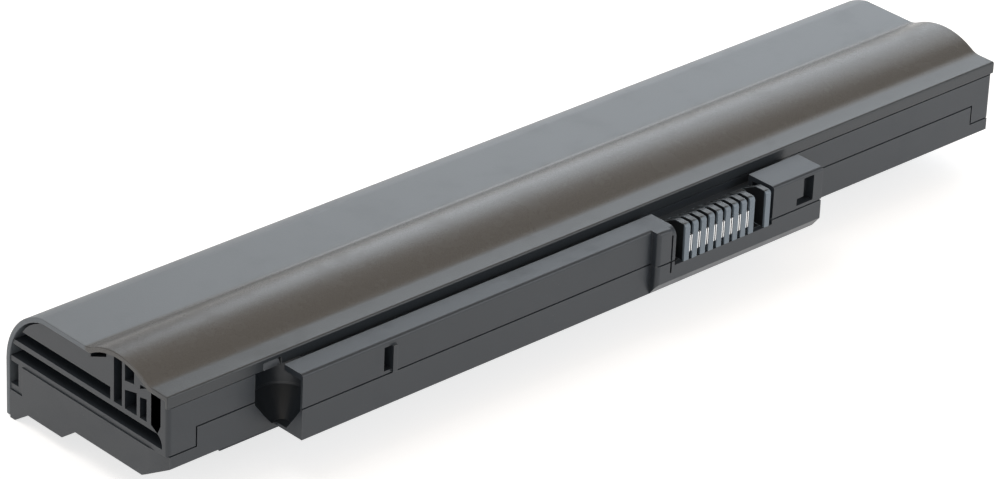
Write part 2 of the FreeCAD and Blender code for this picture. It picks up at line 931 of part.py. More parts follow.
    def end_recesses(self, upper):
        """The slot and crescent around each end plate, and the long groove below them."""
        s = self.s
        slot = [
            (self.back, s.rib_two_top),
            (self.front + s.slot_end, s.rib_two_top),
            (self.front + s.slot_end + s.slot_round, s.rib_one_low, s.rib_one_low - s.rib_two_top, -1),
            (self.back, s.rib_one_low),
        ]
        shoulder = self.back - s.plate_shoulder
        around = [
            (self.front + s.recess_front, s.rib_one_top),
            (self.back, s.rib_one_top),
            (self.back, self.beyond),
            (shoulder, self.beyond),
            (shoulder, s.panel_height - s.plate_shoulder_drop),
            (self.back - s.plate_back, s.plate_low, s.plate_round, -1),
            (self.front + s.recess_front, s.plate_low),
        ]
        valley = self.front + s.valley_slit_start
        under = s.panel_height - s.cover_wall - s.fit_gap - s.valley_slit_height
        slit = [
            (valley, under + s.valley_slit_rise),
            (valley + s.valley_slit_width, under),
            (valley + s.valley_slit_width, self.beyond),
            (valley, self.beyond),
        ]
        for start, end in ((-1.0, s.end_recess), (s.length - s.end_recess, s.length + 1.0)):
            upper.cut_prism("around_plate", (start, end), around)
            upper.cut_prism("groove", (start, end), slot)
            upper.cut_prism("valley_slit", (start, end), slit)

    def end_pockets(self, upper):
        """The small moulded pockets between the ribs at the front of the left end."""
        s = self.s
        top = self.beyond
        low = s.rib_one_top
        run = (-1.0, s.end_recess)
        wide = self.front + s.pocket_wide_start
        upper.cut_block("pocket_wide", run, (wide, wide + s.pocket_wide), (low, top))
        middle = self.front + s.pocket_mid_start
        bridge = s.pocket_bridge_high - s.pocket_bridge_low
        slope = bridge / 2
        upper.cut_prism(
            "pocket_mid_low",
            run,
            [
                (middle, low),
                (middle + s.pocket_mid, low),
                (middle + s.pocket_mid, s.pocket_bridge_low - slope),
                (middle, s.pocket_bridge_low),
            ],
        )
        upper.cut_prism(
            "pocket_mid_high",
            run,
            [
                (middle + slope, s.pocket_bridge_high),
                (middle + s.pocket_mid, s.pocket_bridge_high - slope / 2),
                (middle + s.pocket_mid, top),
                (middle + slope, top),
            ],
        )
        small = self.front + s.pocket_small_start
        upper.cut_prism(
            "pocket_small_low",
            run,
            [
                (small, low),
                (small + s.pocket_small, low),
                (small + s.pocket_small, s.pocket_bridge_low - slope / 2),
                (small, s.pocket_bridge_low),
            ],
        )
        upper.cut_prism(
            "pocket_small_high",
            run,
            [
                (small, s.pocket_bridge_high + slope),
                (small + s.pocket_small, s.pocket_bridge_high - slope / 4),
                (small + s.pocket_small, s.pocket_bridge_high + slope),
            ],
        )
        front = self.front + s.pocket_front_start
        upper.cut_prism(
            "pocket_front",
            run,
            [
                (front, low + slope),
                (front + s.pocket_front, low),
                (front + s.pocket_front, s.pocket_bridge_high + slope / 2),
                (front, s.pocket_bridge_high + slope / 2),
            ],
        )

    def back_hook(self, upper):
        """The snap hook that hangs below the ribs at the back of the left end."""
        s = self.s
        leg = self.inner_back - s.hook_width
        upper.block(
            "hook_leg",
            (s.rib_setback, s.end_recess),
            (leg, leg + s.hook_wall),
            (s.hook_low, s.end_seam_height + s.seam_groove),
        )
        upper.block(
            "hook_foot",
            (s.rib_setback, s.end_recess),
            (leg, self.inner_back),
            (s.hook_low, s.hook_low + s.hook_wall),
        )

    def upper_seams(self, upper):
        """The shadow groove where the two halves of the case meet."""
        s = self.s
        groove = s.seam_groove
        step = (s.end_seam_run, s.length - s.right_seam_run)
        face = self.front - s.block_depth
        runs = [
            ((step[0], s.block_start), self.front, s.parting_height),
            ((s.block_end, step[1]), self.front, s.parting_height),
            ((s.block_start, s.nose_start), face, s.parting_height),
            ((s.nose_start, s.notch_start), face - s.nose_depth, s.parting_height),
            ((s.notch_start + s.notch_width, s.block_end), face - s.nose_depth, s.parting_height),
            ((0.0, step[0]), self.front, s.end_seam_height),
            ((step[1], s.length), self.front, s.end_seam_height),
        ]
        for across, depth, height in runs:
            upper.cut_block("seam", across, (depth - 1.0, depth + groove), (height - 1.0, height + groove))
        for start, end in ((step[0] - groove, step[0] + 0.0), (step[1], step[1] + groove)):
            upper.cut_block(
                "seam_step",
                (start, end),
                (self.front - 1.0, self.front + groove),
                (s.end_seam_height - 1.0, s.parting_height + groove),
            )

    def floor_outline(self, lift):
        """The case's underside line, raised and drawn in by the given wall."""
        s = self.s
        return [
            (self.front + lift, s.front_edge_height + lift * 0.7),
            (self.front + s.floor_slope_run + lift * 0.3, s.floor_height + lift),
            (self.front + s.front_floor_run + lift * 0.3, s.floor_height + lift),
            (self.front + s.front_floor_run + s.step_run + lift * 0.3, s.floor_step_height + lift),
            (self.front + s.rear_floor_run - lift * 0.3, s.floor_step_height + lift),
        ]

    def lower_case(self):
        """Lower half of the case: tray, cell cradles, platform, foot and block."""
        s = self.s
        lower = Moulding(self.doc, "lower_case")
        outline = self.floor_outline(Size.of(0.0))
        outline += [(self.front + s.foot_run, 0.0), (self.inner_back, 0.0)]
        corner = self.skin(s.cover_wall + s.fit_gap)
        outline += [corner[3][:2], (corner[2][0], corner[2][1], corner[3][2], 1)]
        outline += [(self.front, corner[2][1])]
        lower.prism("outside", (0.0, s.length), outline)
        lower.block(
            "platform",
            (s.platform_start, s.platform_end),
            (self.front + s.platform_front, self.front + s.foot_run),
            (0.0, s.floor_height + s.case_wall),
        )
        cavity = self.floor_outline(s.case_wall)
        cavity += [
            (self.inner_back - s.foot_wall, s.floor_step_height + s.case_wall),
            (self.inner_back - s.foot_wall, self.beyond),
            (self.front + s.case_wall, self.beyond),
        ]
        lower.cut_prism("inside", (s.case_wall, s.length - s.case_wall), cavity)
        lower.cut_block(
            "platform_inside",
            (s.platform_start + s.case_wall, s.platform_end - s.case_wall),
            (self.front + s.platform_front + s.case_wall, self.inner_back - s.foot_wall),
            (s.case_wall, self.beyond),
        )
        lower.cut_block(
            "above_parting", (-1.0, s.length + 1.0), (0.0, self.back), (s.parting_height, self.beyond)
        )
        for start, end in ((-1.0, s.end_seam_run), (s.length - s.right_seam_run, s.length + 1.0)):
            lower.cut_block(
                "end_seam",
                (start, end),
                (0.0, self.back),
                (s.end_seam_height, self.beyond),
            )
        self.cell_seats(lower)
        self.block_bottom(lower)
        self.hook_clearance(lower)
        self.finish(lower)

    def cell_seats(self, lower):
        """Cross ribs cut to the cells' round, and the bulkheads at both ends."""
        s = self.s
        bed = self.floor_outline(s.case_wall - s.fit_gap)
        top = s.front_edge_height + s.cradle_rise
        ends = [
            (self.inner_back - s.foot_wall + s.fit_gap, s.floor_step_height + s.case_wall),
            (self.inner_back - s.foot_wall + s.fit_gap, top),
            (self.front + s.case_wall, top),
        ]
        for column in range(CELL_COLUMNS):
            start = self.stack_start + column * (s.cell_length + s.strap_thickness)
            for middle in (start + s.cradle_inset, start + s.cell_length - s.cradle_inset):
                across = (middle - s.cradle_width / 2, middle + s.cradle_width / 2)
                lower.prism("cradle", across, bed + ends)
                if s.platform_start.number < middle.number < s.platform_end.number:
                    lower.block(
                        "cradle_foot",
                        across,
                        (
                            self.front + s.platform_front + s.case_wall / 2,
                            self.inner_back - s.foot_wall + s.fit_gap,
                        ),
                        (s.case_wall / 2, s.floor_height + s.case_wall + 1.0),
                    )
        wall = s.strap_thickness + s.end_pad
        high = [
            (self.inner_back - s.foot_wall + s.fit_gap, s.floor_step_height + s.case_wall),
            (self.inner_back - s.foot_wall + s.fit_gap, s.parting_height),
            (self.front + s.lead_depth, s.parting_height + s.cradle_rise),
            (self.front + s.lead_depth - s.lead_diameter, s.floor_height + s.case_wall),
        ]
        low_line = self.floor_outline(s.case_wall - s.fit_gap)[1:]
        for inner, outer in (
            (self.stack_start - wall - s.bulkhead, self.stack_start - wall),
            (self.stack_end + wall, self.stack_end + wall + s.bulkhead),
        ):
            lower.prism("bulkhead", (inner, outer), low_line + high)
        radius = s.cell_diameter / 2 + s.cell_seat_gap
        for depth, height in ((self.front_row, s.front_row_height), (self.rear_row, s.rear_row_height)):
            lower.rod(
                "cell_round",
                (self.stack_start, self.stack_end),
                depth,
                height,
                radius,
                cut=True,
            )

    def block_bottom(self, lower):
        """Lower half of the connector block with its bevelled nose and inside."""
        s = self.s
        face = self.front - s.block_depth
        nose = face - s.nose_depth
        across = (s.block_start, s.block_end)
        lower.block("block", across, (face, self.front + s.case_wall), (s.block_low, s.parting_height))
        lower.prism(
            "nose",
            (s.nose_start, s.block_end),
            [
                (face, s.block_low),
                (nose, s.nose_low),
                (nose, s.parting_height),
                (face + s.block_wall, s.parting_height),
                (face + s.block_wall, s.block_low),
            ],
        )
        floor = s.block_low + s.block_wall
        inside = (self.board_nest_start(), s.block_end - s.block_wall)
        lower.cut_block(
            "inside_block",
            inside,
            (face + s.block_wall, self.front + s.case_wall + 1.0),
            (floor, self.beyond),
        )
        lower.cut_block(
            "inside_nose",
            (s.nose_start + s.block_wall, s.block_end - s.block_wall),
            (nose + s.block_wall, face + s.block_wall),
            (s.nose_low + s.top_wall, self.beyond),
        )
        lower.cut_block(
            "connector_notch",
            (s.notch_start, s.notch_start + s.notch_width),
            (nose - 1.0, face + s.block_wall),
            (s.notch_low, self.beyond),
        )
        self.nose_slit(lower, nose)
        self.latch_scoop(lower, s.front_edge_height, s.parting_height)

    def hook_clearance(self, lower):
        """Room in the tray's end wall for the snap hook, and the shallow facet."""
        s = self.s
        leg = self.inner_back - s.hook_width
        lower.cut_block(
            "hook_room",
            (-1.0, s.end_recess + s.fit_gap),
            (leg - s.fit_gap, self.back),
            (s.hook_low - s.fit_gap, self.beyond),
        )
        for end, outward in ((Size.of(0.0), -1), (s.length, 1)):
            inner = end - s.facet_depth * outward
            lower.cut_upright(
                "facet",
                (-1.0, self.beyond),
                [
                    (end + outward * 1.0, self.front - 1.0),
                    (inner, self.front - 1.0),
                    (inner, self.front),
                    (end, self.front + s.facet_width),
                    (end + outward * 1.0, self.front + s.facet_width),
                ],
            )
        lower.cut_block(
            "label_bed",
            self.label_across(),
            self.label_depth(),
            (-1.0, s.label_sink + s.label_thickness),
        )

    def label_across(self):
        s = self.s
        return (s.platform_start + s.label_margin, s.platform_end - s.label_margin)

    def label_depth(self):
        s = self.s
        return (
            self.front + s.platform_front + s.label_margin,
            self.front + s.foot_run - s.label_margin,
        )

    def plate(self, label, along, depth, height):
        """A flat piece with square edges."""
        item = self.doc.addObject("Part::Box", label)
        item.Label = label
        bind(item, "Length", Size.of(along[1]) - along[0])
        bind(item, "Width", Size.of(depth[1]) - depth[0])
        bind(item, "Height", Size.of(height[1]) - height[0])
        place(
            item,
            Size.of(along[0]) - self.s.length / 2,
            Size.of(depth[0]) - self.back / 2,
            height[0],
        )
        self.bodies.append(item)
        return item

    def cells(self):
        """Six round cells in two rows, each one turned from one outline."""
        s = self.s
        radius = s.cell_diameter / 2
        shoulder = s.cell_length - s.cell_button
        neck = radius - s.cell_crimp_depth
        groove = shoulder - s.cell_crimp
        outline = [
            (0.0, 0.0),
            (0.0, radius),
            (groove, radius),
            (groove + s.cell_crimp_depth, neck),
            (groove + 2 * s.cell_crimp_depth, neck),
            (groove + 3 * s.cell_crimp_depth, radius),
            (shoulder, radius),
            (shoulder, s.cell_button_radius),
            (s.cell_length, s.cell_button_radius),
            (s.cell_length, 0.0),
        ]
        number = 0
        for depth, height in ((self.front_row, s.front_row_height), (self.rear_row, s.rear_row_height)):
            for column in range(CELL_COLUMNS):
                number += 1
                start = self.stack_start + column * (s.cell_length + s.strap_thickness)
                cell = Turned(self.doc, "cell_%d" % number, "XY_Plane", outline)
                cell.turn()
                self.keep(cell, start - s.length / 2, depth - self.back / 2, height)
                self.ring(number, start + shoulder, depth, height)

    def ring(self, number, start, depth, height):
        """Insulating ring on the shoulder of one cell."""
        s = self.s
        ring = Moulding(self.doc, "insulator_ring_%d" % number)
        ring.rod("outer", (start, start + s.ring_thickness), depth, height, s.ring_outer)
        ring.rod("inner", (start, start + s.ring_thickness), depth, height, s.ring_inner, cut=True)
        self.finish(ring)

    def straps(self):
        """Metal straps across the two rows, two with tongues that reach the board."""
        s = self.s
        middle = (s.front_row_height + s.rear_row_height) / 2
        height = (middle - s.strap_width / 2, middle + s.strap_width / 2)
        depth = (self.front_row - s.strap_width / 2, self.rear_row + s.strap_width / 2)
        tongue = (middle - s.strap_tongue / 2, middle + s.strap_tongue / 2)
        arm_low = height[1] - s.strap_tongue / 2
        for number in range(CELL_COLUMNS + 1):
            start = self.stack_start + number * (s.cell_length + s.strap_thickness) - s.strap_thickness
            across = (start, start + s.strap_thickness)
            strap = Moulding(self.doc, "nickel_strap_%d" % (number + 1))
            strap.block("plate", across, depth, height)
            if 0 < number < CELL_COLUMNS:
                strap.block("tongue", across, (self.board_rear, depth[0] + 1.0), tongue)
            else:
                arm = (self.front + s.lead_depth - s.lead_diameter / 2, depth[0] + s.strap_tongue)
                strap.block("arm", across, arm, (arm_low, s.lead_height + s.lead_diameter / 2))
            self.finish(strap)

    def leads(self):
        """The two power leads from the end straps to the circuit board."""
        s = self.s
        depth = (self.front + s.lead_depth).number
        height = s.lead_height.number
        low = s.lead_landing_height.number
        board = self.board_rear.number
        run = s.lead_run.number
        reach = s.lead_reach.number
        starts = (
            ("negative_lead", self.stack_start.number, 1),
            ("positive_lead", self.stack_end.number, -1),
        )
        for label, start, side in starts:
            landing = s.board_start.number + reach if side > 0 else s.board_end.number - reach
            points = [
                FreeCAD.Vector(start, depth, height),
                FreeCAD.Vector(landing - side * run, depth, height),
                FreeCAD.Vector(landing - side * run / 4, depth * 0.6 + board * 0.4, low),
                FreeCAD.Vector(landing, board + run / 4, low),
                FreeCAD.Vector(landing, board, low),
            ]
            self.shape(label, tube(points, s.lead_diameter.number / 2))

    def board(self):
        """Circuit board on edge in the block, with what is soldered on its front."""
        s = self.s
        rear = self.board_rear
        front = self.board_front
        self.plate("circuit_board", (s.board_start, s.board_end), (front, rear), (s.board_low, s.board_top))
        base = s.board_low + 1.0
        kinds = (
            ("protection_chip", s.chip_length, s.chip_height, s.chip_thickness),
            ("gauge_chip", s.gauge_length, s.chip_height, s.chip_thickness),
            ("mosfet_1", s.mosfet_length, s.mosfet_height, s.mosfet_thickness),
            ("mosfet_2", s.mosfet_length, s.mosfet_height, s.mosfet_thickness),
            ("fuse", s.fuse_length, s.fuse_height, s.fuse_thickness),
            ("shunt_resistor", s.shunt_length, s.shunt_height, s.shunt_thickness),
        )
        for place_number, (label, length, height, thickness) in enumerate(kinds, start=1):
            start = s.board_start + place_number * s.component_pitch
            self.plate(label, (start, start + length), (front - thickness, front), (base, base + height))
        self.plate(
            "capacitor",
            (s.board_end - s.block_wall - s.capacitor_length, s.board_end - s.block_wall),
            (front - s.capacitor_thickness, front),
            (base, base + s.capacitor_height),
        )
        bead = Moulding(self.doc, "thermistor")
        surface = self.front_row - s.cell_diameter / 2
        across = (
            s.thermistor_along - s.thermistor_length / 2,
            s.thermistor_along + s.thermistor_length / 2,
        )
        level = (
            s.front_row_height - s.thermistor_height / 2,
            s.front_row_height + s.thermistor_height / 2,
        )
        bead.block("bead", across, (surface - s.thermistor_thickness, surface), level)
        for side in (-1, 1):
            middle = s.thermistor_along + side * s.thermistor_leg_pitch / 2
            bead.block(
                "leg",
                (middle - s.thermistor_leg / 2, middle + s.thermistor_leg / 2),
                (rear, surface - s.thermistor_thickness / 2),
                (
                    s.front_row_height - s.thermistor_leg / 2,
                    s.front_row_height + s.thermistor_leg / 2,
                ),
            )
        self.finish(bead)

    def connector(self):
        """Connector body with its row of blades, and a contact in each narrow gap."""
        s = self.s
        body = Moulding(self.doc, "connector_body")
        nose = Size.of(0.0)
        face = self.front - s.block_depth
        gap = s.connector_side_gap
        across = (s.notch_start + gap, s.notch_start + s.notch_width - gap)
        rear = self.board_front
        body.block("base", across, (face + s.block_wall + gap, rear), (s.connector_base_low, s.notch_low))
        body.block(
            "floor",
            across,
            (nose + s.block_wall + gap, rear),
            (s.nose_low + s.top_wall + gap, s.notch_low),
        )
        body.block("back", across, (rear - s.connector_back, rear), (s.notch_low - 1.0, s.connector_back_top))
        blade = [
            (nose, s.notch_low),
            (nose + s.block_wall + gap + s.fit_gap, s.notch_low),
            (nose + s.block_wall + gap + s.fit_gap, s.notch_low - s.fit_gap),
            (rear - s.fit_gap, s.notch_low - s.fit_gap),
            (rear - s.fit_gap, s.blade_top - s.blade_fall),
            (nose + s.blade_flat, s.blade_top),
            (nose + s.blade_round, s.blade_top),
            (nose, s.blade_top - s.blade_round, s.blade_round, 1),
        ]
        for number in list(range(CONTACTS + 1)) + [CONTACTS + 2]:
            middle = s.first_blade + number * s.contact_pitch
            body.prism("blade", (middle - s.blade_width / 2, middle + s.blade_width / 2), blade)
        self.finish(body)
        for number in range(CONTACTS):
            middle = s.first_blade + (number + 0.5) * s.contact_pitch
            self.contact(number + 1, middle, nose + s.contact_setback)

    def contact(self, number, middle, front):
        """One forked spring contact: two leaves joined at the back."""
        s = self.s
        contact = Moulding(self.doc, "contact_%d" % number)
        rear = self.board_front - s.connector_back
        half = s.contact_width / 2
        high = s.contact_low + s.contact_height
        level = (s.contact_low, high)
        contact.block("bridge", (middle - half, middle + half), (rear - s.contact_leaf, rear), level)
        for edge in (middle - half, middle + half - s.contact_leaf):
            contact.block("leaf", (edge, edge + s.contact_leaf), (front, rear - s.contact_leaf / 2), level)
        self.finish(contact)

    def pads_and_label(self):
        """Foam pads at the ends of the cell rows, and the blank label underneath."""
        s = self.s
        wall = s.strap_thickness
        depth = (self.front_row - s.pad_reach, self.rear_row + s.pad_reach)
        height = (s.rear_row_height - s.pad_reach, s.rear_row_height + s.pad_reach)
        start = self.stack_start - wall - s.end_pad
        self.plate("foam_pad_left", (start, start + s.end_pad), depth, height)
        start = self.stack_end + wall
        self.plate("foam_pad_right", (start, start + s.end_pad), depth, height)
        self.plate(
            "underside_label",
            self.label_across(),
            self.label_depth(),
            (s.label_sink, s.label_sink + s.label_thickness),
        )

    def build(self):
        """Make every sub-part."""
        self.top_cover()
        self.upper_case()
        self.lower_case()
        self.cells()
        self.straps()
        self.leads()
        self.board()
        self.connector()
        self.pads_and_label()


def corner_outline(start, front, radius, outward):
    """The sliver outside a rounded upright corner, seen from above."""
    if outward < 0:
        return [
            (start - 1.0, front - 1.0),
            (start + radius, front - 1.0),
            (start + radius, front),
            (start, front + radius, radius, -1),
            (start - 1.0, front + radius),
        ]
    return [
        (start + 1.0, front - 1.0),
        (start + 1.0, front + radius),
        (start, front + radius),
        (start - radius, front, radius, -1),
        (start - radius, front - 1.0),
    ]


def tube(points, radius):
    """A round tube along straight runs that meet in the largest tangent arcs."""
    bends = []
    for before, corner, after in zip(points, points[1:], points[2:]):
        first = before - corner
        second = after - corner
        share = LEAD_ARC_SHARE * min(first.Length, second.Length)
        start = corner + first.normalize() * share
        end = corner + second.normalize() * share
        inward = (first + second).normalize()
        turn = math.pi - first.getAngle(second)
        arc_radius = share / math.tan(turn / 2)
        print("bend radius %.1f mm" % arc_radius)
        middle = corner + inward * (math.hypot(share, arc_radius) - arc_radius)
        bends.append((start, middle, end))
    edges = []
    place_now = points[0]
    for start, middle, end in bends:
        edges.append(Part.LineSegment(place_now, start).toShape())
        edges.append(Part.Arc(start, middle, end).toShape())
        place_now = end
    edges.append(Part.LineSegment(place_now, points[-1]).toShape())
    path = Part.Wire(edges)
    ring = Part.Wire(Part.makeCircle(radius, points[0], points[1] - points[0]))
    return path.makePipeShell([ring], True, False)


def check(doc, bodies):
    """Stop if any object failed or any sub-part is not one sound solid."""
    for item in doc.Objects:
        if "Invalid" in item.State or "Error" in item.State:
            raise RuntimeError("%s failed: %s" % (item.Label, item.State))
    for body in bodies:
        solid = body.Shape
        if solid.isNull() or not solid.isValid():
            raise RuntimeError("%s has no sound shape" % body.Label)
        if len(solid.Solids) != 1:
            raise RuntimeError("%s is %d solids" % (body.Label, len(solid.Solids)))


def main():
    """Build the battery and write one STEP file for each sub-part."""
    doc = FreeCAD.newDocument("Battery")
    battery = Battery(doc)
    battery.build()
    doc.recompute()
    check(doc, battery.bodies)
    os.makedirs("parts", exist_ok=True)
    for body in battery.bodies:
        body.Shape.exportStep("parts/%s.step" % body.Label)
        print("%-20s %10.1f mm3" % (body.Label, body.Shape.Volume))


main()
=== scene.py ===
"""A laptop battery in a plain studio: its moulded case, its contact row and all it holds.

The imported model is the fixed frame. Casings, connector and contacts are dressed from
it with softened edges, and the cells, board parts, label and leads get pieces or
finishes of their own. Lengths are in metres.
"""

import json
import logging
import math
from dataclasses import dataclass
from enum import Enum
from typing import Callable

import bmesh
import bpy
from mathutils import Matrix, Vector

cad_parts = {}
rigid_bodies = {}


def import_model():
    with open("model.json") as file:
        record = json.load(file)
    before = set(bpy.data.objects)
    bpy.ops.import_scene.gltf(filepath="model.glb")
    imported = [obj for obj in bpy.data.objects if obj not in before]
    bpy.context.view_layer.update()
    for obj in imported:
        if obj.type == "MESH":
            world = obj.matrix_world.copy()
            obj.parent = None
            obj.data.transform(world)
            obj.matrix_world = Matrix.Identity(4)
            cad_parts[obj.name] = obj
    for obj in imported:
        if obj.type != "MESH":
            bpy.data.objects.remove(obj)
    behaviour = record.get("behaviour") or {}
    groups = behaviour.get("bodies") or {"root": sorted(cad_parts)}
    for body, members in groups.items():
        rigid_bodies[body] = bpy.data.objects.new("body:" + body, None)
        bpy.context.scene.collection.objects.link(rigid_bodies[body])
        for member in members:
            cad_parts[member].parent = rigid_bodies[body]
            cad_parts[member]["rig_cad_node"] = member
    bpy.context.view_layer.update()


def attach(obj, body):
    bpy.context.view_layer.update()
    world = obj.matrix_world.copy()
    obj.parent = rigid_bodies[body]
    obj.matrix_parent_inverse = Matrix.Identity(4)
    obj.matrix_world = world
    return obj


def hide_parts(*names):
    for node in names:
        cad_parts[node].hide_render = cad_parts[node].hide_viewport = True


LOG = logging.getLogger("battery")
MM = 0.001
BODY = "root"
WELD = 0.002 * MM
FLAT_ANGLE = 0.4
FLAT_WEIGHT = 90
SHARP_ANGLE = 28.0
ROUNDING_FACES = 2
WHITE = (1.0, 1.0, 1.0, 1.0)
Colour = tuple[float, float, float]


class CellFace(Enum):
    """Which finish a face of a cell takes."""

    SLEEVE = 0
    BARE_END = 1


class Graph:
    """A node tree with short calls to add a node and to join two sockets."""

    def __init__(self, tree: bpy.types.NodeTree) -> None:
        """Keep the tree."""
        self.tree = tree

    def add(self, kind: str, **settings: object) -> bpy.types.Node:
        """Add a node.

        Args:
            kind: the node's type name.
            settings: properties to set on it.

        Returns:
            The new node.
        """
        node = self.tree.nodes.new(kind)
        for name, value in settings.items():
            setattr(node, name, value)
        return node

    def feed(self, source: object, target: bpy.types.NodeSocket) -> None:
        """Join a socket, or set a plain value, on a target socket."""
        if isinstance(source, bpy.types.NodeSocket):
            self.tree.links.new(source, target)
        else:
            target.default_value = source

    def math(self, operation: str, first: object, second: object = 0.0, clamp: bool = False) -> object:
        """Work out one number.

        Args:
            operation: the Math node's operation.
            first: a socket or a number.
            second: a socket or a number.
            clamp: whether the result stays between 0 and 1.

        Returns:
            The result's socket.
        """
        node = self.add("ShaderNodeMath", operation=operation, use_clamp=clamp)
        self.feed(first, node.inputs[0])
        self.feed(second, node.inputs[1])
        return node.outputs[0]

    def ramp(self, value: object, low: float, high: float, start: float, end: float) -> object:
        """Spread a value from one range to another, held at both limits.

        Args:
            value: the socket to read.
            low: value that gives start.
            high: value that gives end.
            start: result at low.
            end: result at high.

        Returns:
            The result's socket.
        """
        node = self.add("ShaderNodeMapRange", interpolation_type="SMOOTHSTEP")
        self.feed(value, node.inputs["Value"])
        for name, number in (("From Min", low), ("From Max", high), ("To Min", start), ("To Max", end)):
            node.inputs[name].default_value = number
        return node.outputs["Result"]

    def mix(self, share: object, first: object, second: object) -> object:
        """Blend two colours by a share and return the colour's socket."""
        node = self.add("ShaderNodeMix", data_type="RGBA")
        self.feed(share, node.inputs["Factor"])
        self.feed(first, node.inputs["A"])
        self.feed(second, node.inputs["B"])
        return node.outputs["Result"]


@dataclass(frozen=True)
class Port:
    """One socket of a shader group."""

    name: str
    kind: str
    number: float = 0.0


def shader_group(
    name: str, inputs: list[Port], outputs: list[Port], draw: Callable[[Graph, dict], dict]
) -> bpy.types.NodeTree:
    """Build a shader group once and hand the same one out afterwards.

    Args:
        name: the group's name.
        inputs: its input sockets.
        outputs: its output sockets.
        draw: makes the nodes from the input sockets and returns the output values.

    Returns:
        The node group.
    """
    tree = bpy.data.node_groups.get(name)
    if tree:
        return tree
    tree = bpy.data.node_groups.new(name, "ShaderNodeTree")
    for port in inputs:
        socket = tree.interface.new_socket(name=port.name, in_out="INPUT", socket_type=port.kind)
        if port.kind == "NodeSocketFloat":
            socket.default_value = port.number
    for port in outputs:
        tree.interface.new_socket(name=port.name, in_out="OUTPUT", socket_type=port.kind)
    graph = Graph(tree)
    entry = graph.add("NodeGroupInput")
    way_out = graph.add("NodeGroupOutput")
    values = draw(graph, {port.name: entry.outputs[port.name] for port in inputs})
    for port in outputs:
        graph.feed(values[port.name], way_out.inputs[port.name])
    return tree


def noise(graph: Graph, place: object, scale: object, detail: float, roughness: float = 0.5) -> object:
    """Noise at a place.

    Args:
        graph: the tree to add to.
        place: the vector socket.
        scale: features per metre.
        detail: octaves.
        roughness: how strong the finer octaves are.

    Returns:
        The noise's value socket.
    """
    node = graph.add("ShaderNodeTexNoise")
    graph.feed(place, node.inputs["Vector"])
    graph.feed(scale, node.inputs["Scale"])
    node.inputs["Detail"].default_value = detail
    node.inputs["Roughness"].default_value = roughness
    return node.outputs["Fac"]


def draw_spark_grain(graph: Graph, ports: dict) -> dict:
    """Fine pitted grain of a spark-eroded mould, as a height and a speckle."""
    pit_softness = 0.6
    fine_ratio = 2.3
    fine_share = 0.6
    speckle_from = 0.42
    speckle_to = 0.62
    pits = graph.add("ShaderNodeTexVoronoi", feature="SMOOTH_F1")
    graph.feed(ports["Place"], pits.inputs["Vector"])
    graph.feed(ports["Scale"], pits.inputs["Scale"])
    pits.inputs["Smoothness"].default_value = pit_softness
    fine_scale = graph.math("MULTIPLY", ports["Scale"], fine_ratio)
    fine = noise(graph, ports["Place"], fine_scale, 2.0, 0.6)
    height = graph.math("ADD", pits.outputs["Distance"], graph.math("MULTIPLY", fine, fine_share))
    speckle = graph.ramp(fine, speckle_from, speckle_to, 0.0, 1.0)
    return {"Height": height, "Speckle": speckle}


def draw_tone_drift(graph: Graph, ports: dict) -> dict:
    """Slow change of tone over a moulding, and light handling marks."""
    cloud_ratio = 9.0
    marks_from = 0.5
    marks_to = 0.68
    broad = noise(graph, ports["Place"], ports["Scale"], 3.0)
    cloud_scale = graph.math("MULTIPLY", ports["Scale"], cloud_ratio)
    cloud = noise(graph, ports["Place"], cloud_scale, 4.0, 0.65)
    lean = graph.math("SUBTRACT", broad, 0.5)
    gain = graph.math("ADD", graph.math("MULTIPLY", lean, ports["Amount"]), 1.0)
    shade = graph.add("ShaderNodeVectorMath", operation="SCALE")
    graph.feed(ports["Colour"], shade.inputs[0])
    graph.feed(gain, shade.inputs["Scale"])
    marks = graph.ramp(cloud, marks_from, marks_to, 0.0, 1.0)
    return {"Colour": shade.outputs[0], "Marks": marks}


def draw_rub_and_edge_highlight(graph: Graph, ports: dict) -> dict:
    """Paler colour on corners found from a rounded normal: partly worn corners, partly a painted edge
    highlight.
    """
    patches = 420.0
    edge_from = 0.01
    edge_to = 0.14
    least_share = 0.35
    rounded = graph.add("ShaderNodeBevel", samples=4)
    graph.feed(ports["Width"], rounded.inputs["Radius"])
    face = graph.add("ShaderNodeNewGeometry")
    facing = graph.add("ShaderNodeVectorMath", operation="DOT_PRODUCT")
    graph.feed(rounded.outputs["Normal"], facing.inputs[0])
    graph.feed(face.outputs["Normal"], facing.inputs[1])
    edge = graph.math("SUBTRACT", 1.0, facing.outputs["Value"])
    patch = noise(graph, ports["Place"], patches, 3.0)
    corner = graph.ramp(edge, edge_from, edge_to, 0.0, 1.0)
    uneven = graph.ramp(patch, 0.3, 0.7, least_share, 1.0)
    share = graph.math("MULTIPLY", graph.math("MULTIPLY", corner, uneven), ports["Amount"])
    return {"Colour": graph.mix(share, ports["Colour"], ports["Rubbed"])}


def draw_fine_dust(graph: Graph, ports: dict) -> dict:
    """Sparse pale dust specks and a faint film, as a share to blend by."""
    speck_count = 900.0
    film_count = 60.0
    specks = graph.add("ShaderNodeTexVoronoi", feature="F1")
    graph.feed(ports["Place"], specks.inputs["Vector"])
    specks.inputs["Scale"].default_value = speck_count
    dot = graph.ramp(specks.outputs["Distance"], 0.05, 0.12, 1.0, 0.0)
    thin = graph.ramp(noise(graph, ports["Place"], film_count, 3.0), 0.55, 0.75, 0.0, 1.0)
    return {"Share": graph.math("MULTIPLY", graph.math("MULTIPLY", dot, thin), ports["Amount"])}


def draw_depth_band(graph: Graph, ports: dict) -> dict:
    """Share of a place that lies past a line across the depth."""
    split = graph.add("ShaderNodeSeparateXYZ")
    graph.feed(ports["Place"], split.inputs["Vector"])
    past = graph.math("SUBTRACT", split.outputs["Y"], ports["Line"])
    return {"Share": graph.math("DIVIDE", past, ports["Blend"], clamp=True)}


